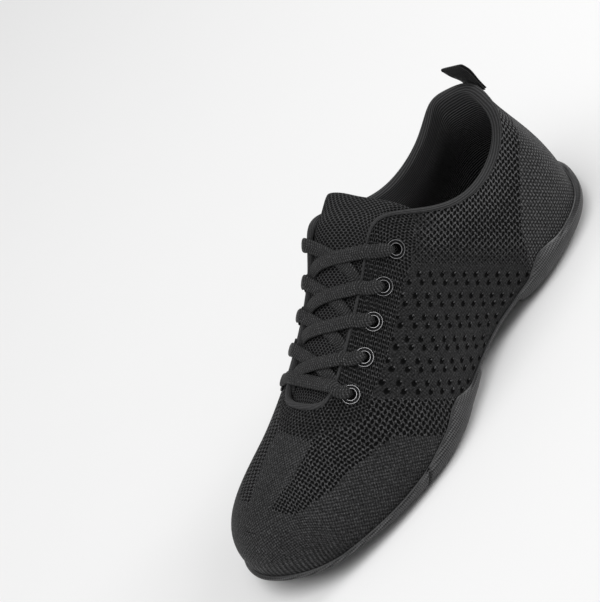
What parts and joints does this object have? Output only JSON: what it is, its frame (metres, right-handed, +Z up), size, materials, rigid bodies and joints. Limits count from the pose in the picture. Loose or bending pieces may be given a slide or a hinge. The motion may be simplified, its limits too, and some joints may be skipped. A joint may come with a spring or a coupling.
{
  "type": "cheerleading shoe",
  "caption": "Left-foot black knit cheerleading shoe with a padded collar, laced throat, heel pull loop and a split rubber sole.",
  "frame": {"origin": "middle of the shoe's footprint, on the plane that the heel and forefoot rest on", "axes": "+X from heel to toe, +Y towards the outer side of the left foot, +Z up"},
  "size_m": [0.2576, 0.0938, 0.0963],
  "materials": {
    "knit": "matte knit",
    "rubber": "matte moulded",
    "foam": "matte cloth",
    "mesh": "matte padded mesh",
    "webbing": "matte woven",
    "cord": "matte braid",
    "black_metal": "gloss black"
  },
  "bodies": {
    "root": {"upper": "knit", "outsole": "rubber", "insole": "foam", "tongue": "mesh", "pull_loop": "webbing", "eyelet_outer_1": "black_metal", "eyelet_outer_2": "black_metal", "eyelet_outer_3": "black_metal", "eyelet_outer_4": "black_metal", "eyelet_outer_5": "black_metal", "eyelet_inner_1": "black_metal", "eyelet_inner_2": "black_metal", "eyelet_inner_3": "black_metal", "eyelet_inner_4": "black_metal", "eyelet_inner_5": "black_metal", "lace_bar": "cord", "lace_cross_1": "cord", "lace_cross_2": "cord", "lace_cross_3": "cord", "lace_cross_4": "cord"}
  },
  "joints": []
}
